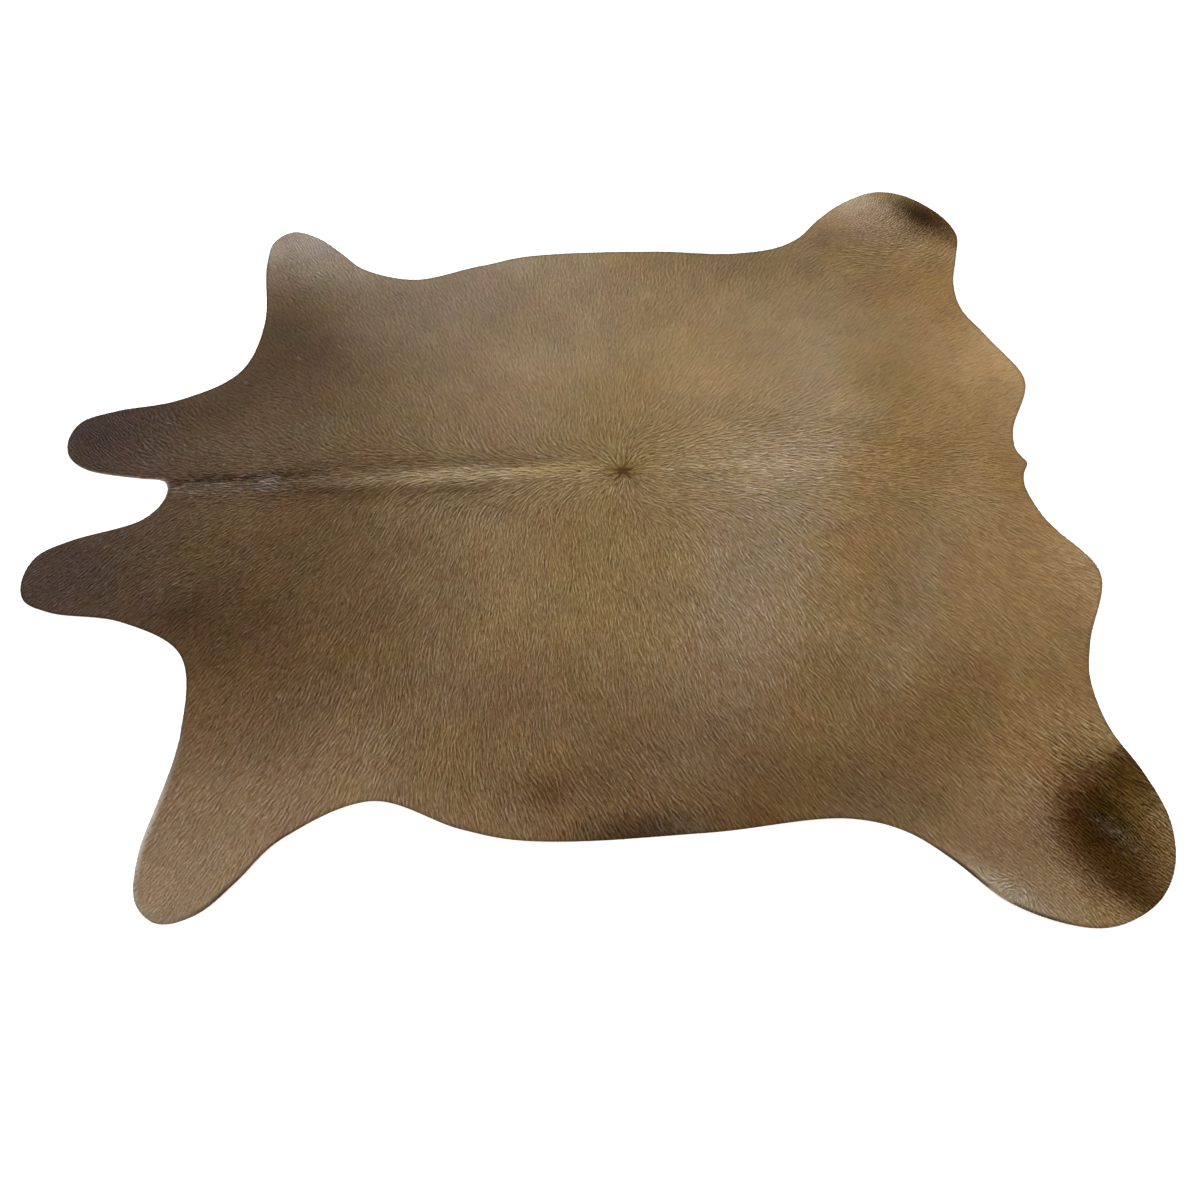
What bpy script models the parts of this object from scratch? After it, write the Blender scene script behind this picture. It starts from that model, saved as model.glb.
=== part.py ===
"""A cowhide rug: one whole tanned hide with its hair on, lying flat on a floor, hair side up.

Metres, +Z up. +X runs along the spine from the neck flaps to the tail stub, so the animal's right
side is +Y and its left side is -Y. The floor is z = 0, and the origin is under the middle of the
hide. A hide is nearly the same on both sides of its spine, so each landmark of its outline is
given twice, once for each side.
"""

import math
from collections import namedtuple

import bmesh
import bpy
from mathutils import Vector
from mathutils.geometry import delaunay_2d_cdt

# Thickness of the leather with its flattened hair
RIM_THICKNESS = 0.0035
COAT_THICKNESS = 0.0052
COAT_SETTLES_OVER = 0.060

# From the neck to the whorl, the hair of the two sides meets over the spine in a low ridge
RIDGE_HEIGHT = 0.0026
RIDGE_HALF_WIDTH = 0.026
RIDGE_START_X = -0.855
RIDGE_Y = 0.033
RIDGE_FADE = 0.12

# The whorl, which the hair turns away from on all sides, is a shallow dimple
WHORL = Vector((0.144, 0.036))
WHORL_RADIUS = 0.045
WHORL_DEPTH = 0.0014

# Spacing of the mesh
RIM_STEP = 0.019
INNER_RING_INSET = 0.026
LATTICE_STEP = 0.052
RIDGE_ROWS = (-2, -1, 0, 1, 2)
RIDGE_ROW_STEP = 0.020
CROWDING = 0.55
RING_CLEARANCE = 0.9
WELD_DISTANCE = 1e-6

COAT_COLOUR = (0.254, 0.171, 0.080, 1.0)
COAT_ROUGHNESS = 0.72
SUEDE_COLOUR = (0.52, 0.41, 0.29, 1.0)
SUEDE_ROUGHNESS = 0.95

# The outline: out from the notch between the neck flaps to the tail, on either side
NOTCH_BOTTOM = Vector((-0.870, 0.026))
TAIL_TIP = Vector((1.059, 0.019))
Landmark = namedtuple("Landmark", "name right_x right_y left_x left_y")
LANDMARKS = [
    Landmark("notch corner", -0.885, 0.054, -0.880, -0.019),
    Landmark("flap, inner edge", -0.930, 0.062, -0.915, -0.055),
    Landmark("flap, inner bend", -1.067, 0.094, -1.055, -0.102),
    Landmark("flap tip, inner", -1.113, 0.132, -1.108, -0.135),
    Landmark("flap tip", -1.125, 0.186, -1.125, -0.189),
    Landmark("flap tip, outer", -1.108, 0.236, -1.110, -0.249),
    Landmark("flap, outer bend", -1.040, 0.266, -1.050, -0.279),
    Landmark("flap, outer edge", -0.897, 0.295, -0.900, -0.307),
    Landmark("throat", -0.762, 0.381, -0.762, -0.389),
    Landmark("neck side", -0.731, 0.541, -0.729, -0.559),
    Landmark("foreleg, front", -0.757, 0.766, -0.757, -0.789),
    Landmark("foreleg tip, front", -0.748, 0.851, -0.745, -0.871),
    Landmark("foreleg tip", -0.700, 0.887, -0.700, -0.906),
    Landmark("foreleg tip, back", -0.632, 0.864, -0.635, -0.892),
    Landmark("foreleg, back", -0.560, 0.796, -0.575, -0.842),
    Landmark("foreleg, armpit", -0.500, 0.736, -0.510, -0.770),
    Landmark("elbow", -0.355, 0.688, -0.355, -0.705),
    Landmark("belly, front", -0.190, 0.732, -0.190, -0.764),
    Landmark("belly, middle front", -0.075, 0.765, -0.075, -0.791),
    Landmark("belly, middle back", 0.260, 0.770, 0.250, -0.789),
    Landmark("flank", 0.495, 0.748, 0.515, -0.775),
    Landmark("flank, back", 0.580, 0.760, 0.610, -0.802),
    Landmark("thigh, front", 0.655, 0.802, 0.685, -0.859),
    Landmark("thigh, outer", 0.725, 0.879, 0.755, -0.931),
    Landmark("hind leg tip, front", 0.805, 0.946, 0.840, -0.970),
    Landmark("hind leg tip", 0.895, 0.980, 0.925, -0.9785),
    Landmark("hind leg tip, back", 0.985, 0.958, 1.010, -0.944),
    Landmark("hock", 1.056, 0.890, 1.067, -0.877),
    Landmark("hock, back", 1.086, 0.801, 1.086, -0.799),
    Landmark("hind leg, back", 1.062, 0.706, 1.068, -0.708),
    Landmark("hind leg, inner", 1.033, 0.611, 1.032, -0.617),
    Landmark("ham, inner", 1.030, 0.516, 1.028, -0.524),
    Landmark("ham", 1.068, 0.421, 1.056, -0.439),
    Landmark("seat", 1.120, 0.266, 1.125, -0.279),
    Landmark("tail side", 1.053, 0.116, 1.052, -0.131),
    Landmark("tail root", 1.043, 0.059, 1.035, -0.045),
    Landmark("tail stub", 1.050, 0.037, 1.044, -0.008),
]

# Where the hide dried a little uneven its rim doesn't lie down: it swells up over a short reach
Lift = namedtuple("Lift", "name x y reach height")
LIFTS = [
    Lift("left hind leg, belly side", 0.790, -0.965, 0.150, 0.0095),
    Lift("left hind leg tip", 1.020, -0.940, 0.120, 0.0060),
    Lift("left ham", 1.035, -0.560, 0.130, 0.0050),
    Lift("left seat", 1.135, -0.280, 0.120, 0.0060),
    Lift("left flank", 0.440, -0.790, 0.150, 0.0040),
    Lift("left belly", -0.080, -0.800, 0.170, 0.0060),
    Lift("left foreleg, back", -0.560, -0.830, 0.130, 0.0080),
    Lift("left foreleg, front", -0.765, -0.800, 0.120, 0.0050),
    Lift("left flap tip", -1.130, -0.210, 0.130, 0.0060),
    Lift("right flap tip", -1.130, 0.170, 0.130, 0.0050),
    Lift("right throat", -0.750, 0.420, 0.110, 0.0040),
    Lift("right foreleg tip", -0.720, 0.900, 0.120, 0.0060),
    Lift("right belly", -0.260, 0.720, 0.150, 0.0040),
    Lift("right flank", 0.540, 0.760, 0.140, 0.0050),
    Lift("right hind leg tip", 0.930, 0.990, 0.150, 0.0070),
    Lift("right seat", 1.130, 0.250, 0.120, 0.0050),
]


def smooth(value):
    """0 below 0, 1 above 1, and a soft step between."""
    value = min(max(value, 0.0), 1.0)
    return value * value * (3.0 - 2.0 * value)


def clear_scene():
    for old in list(bpy.data.objects):
        bpy.data.objects.remove(old, do_unlink=True)


def landmark_loop():
    """The outline's landmarks in order: to the tail on the right side, and back on the left."""
    right = [Vector((mark.right_x, mark.right_y)) for mark in LANDMARKS]
    left = [Vector((mark.left_x, mark.left_y)) for mark in reversed(LANDMARKS)]
    return [NOTCH_BOTTOM] + right + [TAIL_TIP] + left


def between(low, high, low_time, high_time, time):
    return low.lerp(high, (time - low_time) / (high_time - low_time))


def curve_point(before, start, end, after, share):
    """A point on the smooth curve from start to end (a centripetal Catmull-Rom spline)."""
    times = [0.0]
    for first, second in ((before, start), (start, end), (end, after)):
        times.append(times[-1] + math.sqrt((second - first).length))
    time = times[1] + share * (times[2] - times[1])
    low = between(before, start, times[0], times[1], time)
    middle = between(start, end, times[1], times[2], time)
    high = between(end, after, times[2], times[3], time)
    early = between(low, middle, times[0], times[2], time)
    late = between(middle, high, times[1], times[3], time)
    return between(early, late, times[1], times[2], time)


def outline():
    """Points along the rim, about RIM_STEP apart, with one on every landmark."""
    marks = landmark_loop()
    count = len(marks)
    points = []
    for index, start in enumerate(marks):
        end = marks[(index + 1) % count]
        after = marks[(index + 2) % count]
        pieces = max(1, round((end - start).length / RIM_STEP))
        for piece in range(pieces):
            points.append(curve_point(marks[index - 1], start, end, after, piece / pieces))
    return points


def nearest(point, others):
    return min((point - other).length for other in others)


def is_inside(point, rim):
    """Whether a point lies inside the rim: a ray along +X crosses it an odd number of times."""
    inside = False
    for index, end in enumerate(rim):
        start = rim[index - 1]
        if (start.y > point.y) == (end.y > point.y):
            continue
        crossing = start.x + (point.y - start.y) / (end.y - start.y) * (end.x - start.x)
        if crossing > point.x:
            inside = not inside
    return inside


def inner_ring(rim):
    """Every other rim point moved inwards, where there is room for it."""
    ring = []
    for index in range(0, len(rim), 2):
        along = rim[(index + 1) % len(rim)] - rim[index - 1]
        inwards = Vector((along.y, -along.x)).normalized()
        point = rim[index] + INNER_RING_INSET * inwards
        if is_inside(point, rim) and nearest(point, rim) > RING_CLEARANCE * INNER_RING_INSET:
            ring.append(point)
    return ring


def ridge_rows():
    """Rows of points along the ridge of hair, from the notch to the whorl."""
    length = WHORL.x - RIDGE_START_X
    steps = round(length / (2 * RIDGE_ROW_STEP))
    rows = []
    for row in RIDGE_ROWS:
        for step in range(steps + 1):
            x = RIDGE_START_X + length * step / steps
            rows.append(Vector((x, RIDGE_Y + row * RIDGE_ROW_STEP)))
    return rows


def lattice(rim):
    """A triangular lattice of points over the whole hide's box."""
    low_x = min(point.x for point in rim)
    low_y = min(point.y for point in rim)
    row_step = LATTICE_STEP * math.sqrt(3.0) / 2.0
    columns = math.ceil((max(point.x for point in rim) - low_x) / LATTICE_STEP)
    rows = math.ceil((max(point.y for point in rim) - low_y) / row_step)
    points = []
    for row in range(rows + 1):
        shift = 0.5 * (row % 2)
        for column in range(columns + 1):
            points.append(Vector((low_x + (column + shift) * LATTICE_STEP, low_y + row * row_step)))
    return points


def inner_points(rim):
    """The points inside the rim: the finer ones first, then the lattice where they leave room."""
    fine = inner_ring(rim)
    for point in ridge_rows():
        if is_inside(point, rim) and nearest(point, rim + fine) > CROWDING * RIDGE_ROW_STEP:
            fine.append(point)
    coarse = [
        point
        for point in lattice(rim)
        if is_inside(point, rim) and nearest(point, rim + fine) > CROWDING * LATTICE_STEP
    ]
    return fine + coarse


def lift(x, y):
    """How high the underside is off the floor."""
    height = 0.0
    for swell in LIFTS:
        share = math.hypot(x - swell.x, y - swell.y) / swell.reach
        height = max(height, swell.height * smooth(1.0 - share))
    return height


def thickness(point, rim):
    """Leather and hair together: thinner at the cut rim, higher on the ridge, lower in the whorl."""
    settled = smooth(nearest(point, rim) / COAT_SETTLES_OVER)
    depth = RIM_THICKNESS + (COAT_THICKNESS - RIM_THICKNESS) * settled
    across = math.exp(-(((point.y - RIDGE_Y) / RIDGE_HALF_WIDTH) ** 2))
    begins = smooth((point.x - RIDGE_START_X) / RIDGE_FADE)
    ends = smooth((WHORL.x - point.x) / RIDGE_FADE)
    depth += RIDGE_HEIGHT * across * begins * ends
    return depth - WHORL_DEPTH * smooth(1.0 - (point - WHORL).length / WHORL_RADIUS)


def principled(name, colour, roughness):
    material = bpy.data.materials.new(name)
    material.use_nodes = True
    material.diffuse_color = colour
    shader = material.node_tree.nodes["Principled BSDF"]
    shader.inputs["Base Color"].default_value = colour
    shader.inputs["Roughness"].default_value = roughness
    shader.inputs["Metallic"].default_value = 0.0
    return material


def underside(rim):
    """The underside as an open surface facing up, and the hide's thickness above each point."""
    points = rim + inner_points(rim) + [WHORL]
    edges = [(index, (index + 1) % len(rim)) for index in range(len(rim))]
    inside_only = 1
    flat, _, faces, _, _, _ = delaunay_2d_cdt(points, edges, [], inside_only, WELD_DISTANCE)
    mesh = bpy.data.meshes.new("hide")
    mesh.from_pydata([(point.x, point.y, lift(point.x, point.y)) for point in flat], [], faces)
    form = bmesh.new()
    form.from_mesh(mesh)
    if sum(face.normal.z for face in form.faces) < 0.0:
        bmesh.ops.reverse_faces(form, faces=form.faces)
    form.to_mesh(mesh)
    form.free()
    return mesh, [thickness(point, rim) for point in flat]


def build_hide(collection):
    """Solidify raises the hair side; the leather's own material stays below and on the rim."""
    mesh, depths = underside(outline())
    mesh.shade_smooth()
    mesh.materials.append(principled("suede", SUEDE_COLOUR, SUEDE_ROUGHNESS))
    mesh.materials.append(principled("coat", COAT_COLOUR, COAT_ROUGHNESS))
    hide = bpy.data.objects.new("hide", mesh)
    collection.objects.link(hide)

    deepest = max(depths)
    group = hide.vertex_groups.new(name="thickness")
    for index, depth in enumerate(depths):
        group.add([index], depth / deepest, "REPLACE")
    solid = hide.modifiers.new("thickness", "SOLIDIFY")
    solid.thickness = deepest
    solid.offset = 1.0
    solid.vertex_group = group.name
    solid.material_offset = 1
    solid.material_offset_rim = 0


def main():
    clear_scene()
    collection = bpy.data.collections.new("cowhide_rug")
    bpy.context.scene.collection.children.link(collection)
    build_hide(collection)


main()
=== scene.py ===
"""The looks of one cowhide rug: a whole tanned hide with its short hair on, flat on a floor.

Metres, +Z up. +X runs along the spine from the neck flaps to the tail, and +Y is the animal's right
side, the far side in the picture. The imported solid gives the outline, the underside and the height
of the coat. The leather is one thin closed sheet, and the hair is made of small locks, each a
pointed leaf that lies along the hair's own direction. A lock's colour comes from a painted pattern:
a ground that changes from the neck to the seat, with ovals and stripes over it.
"""

import math
from collections import namedtuple

import bpy
import numpy as np
from mathutils import Matrix, Vector
from mathutils.bvhtree import BVHTree
from mathutils.geometry import delaunay_2d_cdt
from mathutils.kdtree import KDTree


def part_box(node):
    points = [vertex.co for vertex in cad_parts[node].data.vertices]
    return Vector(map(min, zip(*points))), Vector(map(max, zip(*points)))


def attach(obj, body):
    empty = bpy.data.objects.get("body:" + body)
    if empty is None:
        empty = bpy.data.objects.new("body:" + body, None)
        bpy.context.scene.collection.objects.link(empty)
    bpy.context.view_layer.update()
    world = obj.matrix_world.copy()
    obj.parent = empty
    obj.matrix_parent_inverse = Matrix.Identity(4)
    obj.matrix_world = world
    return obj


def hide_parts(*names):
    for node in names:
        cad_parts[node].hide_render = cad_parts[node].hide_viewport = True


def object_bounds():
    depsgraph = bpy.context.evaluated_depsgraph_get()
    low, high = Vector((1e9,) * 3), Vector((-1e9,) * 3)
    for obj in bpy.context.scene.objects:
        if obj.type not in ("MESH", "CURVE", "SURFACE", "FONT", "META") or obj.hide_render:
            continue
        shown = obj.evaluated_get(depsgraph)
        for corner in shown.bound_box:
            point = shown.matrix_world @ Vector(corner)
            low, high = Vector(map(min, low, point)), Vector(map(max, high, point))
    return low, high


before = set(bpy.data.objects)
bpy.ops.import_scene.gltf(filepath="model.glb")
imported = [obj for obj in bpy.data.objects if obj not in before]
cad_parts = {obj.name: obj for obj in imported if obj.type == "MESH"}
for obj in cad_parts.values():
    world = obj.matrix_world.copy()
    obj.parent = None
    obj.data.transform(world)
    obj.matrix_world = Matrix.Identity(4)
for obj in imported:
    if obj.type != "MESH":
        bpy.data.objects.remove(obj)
cad_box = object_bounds()

# Camera, as it stood for the picture
CAMERA_PLACE = (0.0502, -1.2352, 1.6043)
CAMERA_HEADING = -1.844
CAMERA_DOWN = 59.671
CAMERA_ROLL = -0.568
CAMERA_LENS = 27.0
CAMERA_SENSOR = 36.0

# Floor and light
FLOOR_HALF = 7.0
FLOOR_DROP = 0.0004
FLOOR_COLOUR = (0.93, 0.93, 0.935, 1.0)
FLOOR_ROUGHNESS = 0.9
FLOOR_GLOW = 0.36
WHITE = (1.0, 1.0, 1.0, 1.0)
SKY_STRENGTH = 1.06
LAMP_PLACE = (-0.7, 1.7, 2.7)
LAMP_SIZE = 2.4
LAMP_WATTS = 45.0

# Leather
LEATHER = 0.0022
RIM_THICKNESS = 0.0035
RIM_STEP = 0.006
INNER_RING = 0.008
RING_ROOM = 0.85
SKIN_STEP = 0.021
SKIN_ROOM = 0.55
SHARP_ANGLE = 50.0

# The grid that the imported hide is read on
GRID_STEP = 0.006
GRID_MARGIN = 0.03
WELD_DISTANCE = 1e-6
TINY = 1e-9
CM = 0.01
CLOUD_CELLS = 128

# Locks of hair, each with a corner at the root, two at each of two bends and one at the tip. A spread
# is the least and the most of a random share, and angles are in degrees
CORNERS = 6
ROOT_SINK = 0.0004
OVERHANG = 0.0003
LEAST_COAT = 0.0012
LEAST_DEPTH = 0.0004
LOWEST_HAIR = 0.0006
LOOSE = 0.30
LEG_SPREAD = (0.2, 0.8)
LENGTH_SPREAD = (0.72, 1.22)
WIDTH_SPREAD = (0.70, 1.25)
RISE_SPREAD = (0.85, 1.1)
LOCK_STRAY = 4.5
LOCK_CURL = 4.0
LOCK_ROLL = 7.0
BEND_RISES = (0.78, 1.0, 0.88)
BEND_WIDTHS = (0.85, 1.0)
SHORTER_ON_LEGS = 0.60
SHORTER_ON_NECK = 0.30
SHORTER_AT_WHORL = 0.25
LONGER_ON_RIDGE = 0.40
FINER_ON_LEGS = 0.35
FINER_ON_NECK = 0.15

# Kinds of lock, plain, light and dark: their lowest place in the coat and the room above it, and
# how much lighter they are
KIND_HEIGHTS = np.array([(0.0, 0.80), (0.70, 0.30), (0.50, 0.40)])
KIND_STEPS = np.array([0.0, 0.10, -0.14])
LIGHT_LOCKS = 0.20
DARK_LOCKS = 0.16
EVEN_SPREAD = 0.381966
EVEN_STRAY = 0.06

# Tones of the locks
COLOUR_BLUR = 0.006
CONTRAST = 1.45
FAR_CHANGE = -0.90
PLAIN_STEP = 0.03
STROKE_COLOUR = np.array([0.67, 0.92, 1.42])
BRIGHTEST = 0.90
DARKER = 1.25
# Painted shade: locks that lie lower in the coat are darker, and those higher up lighter
PAINTED_SHADE_LOWEST = 0.96
PAINTED_LIGHT_WITH_HEIGHT = 0.08
# Painted light and shade along each lock: its root darker, its tip lighter, and one side lighter than the
# other
PAINTED_CORNER_SHADES = np.array([0.84, 0.95, 0.95, 1.02, 1.02, 1.10])
PAINTED_SIDE_LIGHT = 0.06 * np.array([0, 1, -1, 1, -1, 0])
RIM_SHADE = 0.40
RIM_SHADE_WIDTH = 0.006
PALE_TONE = (0.70, 0.66, 0.60)
PALE_MIX = 0.24
PALE_ON_NECK = 0.0015
PALE_ON_BACK = 0.16
LIGHT_ON_COAT = 1.025
GLOSS_ON_COAT = 0.0035
LEAST_TONE = 0.15
STRAND_CELLS = 240
LAYER_SEED = 20
TUFT_SEED = 30

# Tufts: the hair gathers in fine strands, which show as crests and grooves along its direction
TUFT_GRID = 0.0015
NEAR_SPACING = 0.0070
FAR_SPACING = 0.0100
LEG_SPACING = 0.0058
SPACING_SPREAD = 0.44
TUFT_WALK = 0.0018
TUFT_STEPS = 9
TUFT_EVEN = 0.030
TUFT_MOST = 1.9
# How much lighter the crests and darker the grooves of the tufts are painted: painted light and shade
TUFT_PAINTED_LIGHT_AND_SHADE = 0.255
TUFT_RISE = 0.14
STRAND = 0.0085
NECK_STRAND = 0.0025
HIND_STRAND = 0.0035

# The whorl on the loin, and the line along the back that the hair of both sides runs from
WHORL_X = 0.144
WHORL_Y = 0.036
WHORL_TURN = 0.05
PART_SWAY = 0.030
PART_SWAY_X = -0.45
PART_SWAY_REACH = 0.25
PARTED_SHADES = ((2.3, 0.0054), (0.50, 0.026))
PARTED_LONG = 1.35
PARTED_SKIN_REACH = 0.030
PARTED_SKIN = np.array([0.72, 0.80, 0.90])

# How far the hair leans to the rear once it runs down a side, and where it turns there from the
# back's line: the start and the reach of the turn
UPRIGHT_X = 0.10
FRONT_LEAN = 0.75
REAR_LEAN = 1.05
BACK_LEAN = 0.85
NECK_LEAN = 0.75
RIGHT_TURN = (0.0, 0.13)
LEFT_TURN = (-0.01, 0.16)
REAR_TURN = (0.03, 0.19)

# Arches of hair over a place at the left hind leg's edge
ARCH_X = 0.762
ARCH_Y = -0.930
ARCH_REACH = 0.060

# Soft steps: where each starts, along x, along y or out from a line or place, and its reach; that of
# the legs' ends counts from LEG_MIDDLE_X
REAR_STEP = (0.084, 0.12)
BACK_STEP = (0.15, 0.30)
NECK_BACK_STEP = (0.25, 0.20)
WHORL_STEP = (0.045, 0.070)
WHORL_LOCKS_STEP = (0.012, 0.05)
LEG_SIDE_STEP = (0.70, 0.12)
LEG_END_STEP = (0.48, 0.14)
LEG_MIDDLE_X = 0.15
FLAP_STEP = (-0.92, -0.12)
NECK_STEP = (-0.30, -0.30)
NECK_STRAND_STEP = (-0.35, -0.25)
HIND_STEP = (0.0, 0.2)
HIND_STRAY_STEP = (0.75, 0.15)
RIDGE_FRONT_STEP = (-0.87, 0.08)
RIDGE_REAR_STEP = (0.10, -0.15)
PALE_FRONT_STEP = (-0.90, 0.05)
PALE_REAR_STEP = (-0.55, -0.10)
TUFT_FAR_STEP = (-0.35, 0.90)
CONTRAST_FAR_STEP = (0.05, 0.30)

# Bells: their centre and reach
NECK_BELL = (-0.72, 0.17)
RIDGE_BELL = (0.033, 0.022)
PALE_BELL = (0.024, 0.013)


# Helpers

def table(columns, rows, defaults=()):
    """Rows with named columns, the last of which may be left out."""
    row_kind = namedtuple("Row", columns, defaults=defaults)
    return [row_kind(*row) for row in rows]


def rising(value, start, reach):
    """0 up to the start, 1 a reach past it, and a soft step between; a reach below 0 goes down."""
    share = np.clip((value - start) / reach, 0.0, 1.0)
    return share * share * (3.0 - 2.0 * share)


def fading(value, start, reach):
    """1 up to the start, 0 a reach past it, and a soft step between."""
    return 1.0 - rising(value, start, reach)


def bell(value, centre, reach):
    """1 at the centre, falling off on both sides."""
    return np.exp(-(((value - centre) / reach) ** 2))


def oval(x, y, row):
    """0 at the middle of a row's oval, which is long along its turn in degrees, and 1 at its rim."""
    along, aside = turned(x / CM - row.x, y / CM - row.y, -math.radians(row.turn))
    return (along / row.long) ** 2 + (aside / row.wide) ** 2


def spots(rows):
    """A table of ovals, in centimetres, each with an amount in its middle that falls off around it."""
    return table("name x y long wide amount turn", rows, (0,))


def amount(x, y, rows):
    """What the spots of a table come to at a place."""
    return sum(row.amount * np.exp(-oval(x, y, row)) for row in rows)


def blend(start, end, share):
    """From the start at a share of 0 to the end at a share of 1."""
    return start * (1.0 - share) + end * share


def between(grid, column, row, across, up):
    """A grid's value between four neighbouring cells, going round past its ends."""
    rows, columns = grid.shape
    row, next_row = row % rows, (row + 1) % rows
    column, next_column = column % columns, (column + 1) % columns
    low = blend(grid[row, column], grid[row, next_column], across)
    high = blend(grid[next_row, column], grid[next_row, next_column], across)
    return blend(low, high, up)


def cloud(x, y, size, seed):
    """Smooth noise between -1 and 1, with blotches about size across."""
    noise = np.random.default_rng(seed).uniform(-1.0, 1.0, (CLOUD_CELLS, CLOUD_CELLS))
    column, row = np.floor(x / size), np.floor(y / size)
    across, up = rising(x / size, column, 1.0), rising(y / size, row, 1.0)
    return between(noise, column.astype(int), row.astype(int), across, up)


def unit(x, y):
    """The direction of a step, as a step of length 1, and the step's own length."""
    length = np.hypot(x, y) + TINY
    return x / length, y / length, length


def turned(x, y, angle):
    """The step, turned anticlockwise by an angle in radians."""
    cos, sin = np.cos(angle), np.sin(angle)
    return x * cos - y * sin, x * sin + y * cos


def lattice(step, step_y):
    """Rows of points over the hide's box, a step apart along x."""
    low, high = cad_box
    return np.meshgrid(np.arange(low[0], high[0] + step, step), np.arange(low[1], high[1] + step, step_y))


def row_step(step):
    """How far apart the staggered rows lie of points that are a step apart."""
    return step * math.sqrt(3.0) / 2.0


def hex_lattice(step):
    """Points a step apart over the hide's box, in staggered rows."""
    xs, ys = lattice(step, row_step(step))
    xs = xs + 0.5 * step * (np.arange(len(xs)) % 2)[:, None]
    return xs.ravel(), ys.ravel()


# The painted pattern. Its places and sizes are in centimetres, with y above 0 on the hide's right side,
# and its colours are red, green and blue from 0 to 255, as they show: the coat's own colour with some
# of the light and shade on the hair painted in

GROUND = table("name x colour", [
    ("flap tip", -110, (77, 63, 54)),
    ("flap", -95, (81, 64, 51)),
    ("neck", -78, (88, 70, 51)),
    ("withers", -58, (94, 74, 52)),
    ("shoulder", -42, (104, 84, 59)),
    ("ribs, front", -25, (118, 97, 70)),
    ("ribs, back", -8, (127, 105, 75)),
    ("loin", 10, (129, 106, 72)),
    ("loin, back", 22, (132, 109, 74)),
    ("hip", 38, (141, 118, 86)),
    ("croup", 52, (141, 120, 89)),
    ("rump", 70, (134, 109, 75)),
    ("ham", 85, (138, 112, 75)),
    ("seat", 100, (146, 117, 78)),
    ("seat edge", 112, (154, 126, 88)),
])

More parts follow.
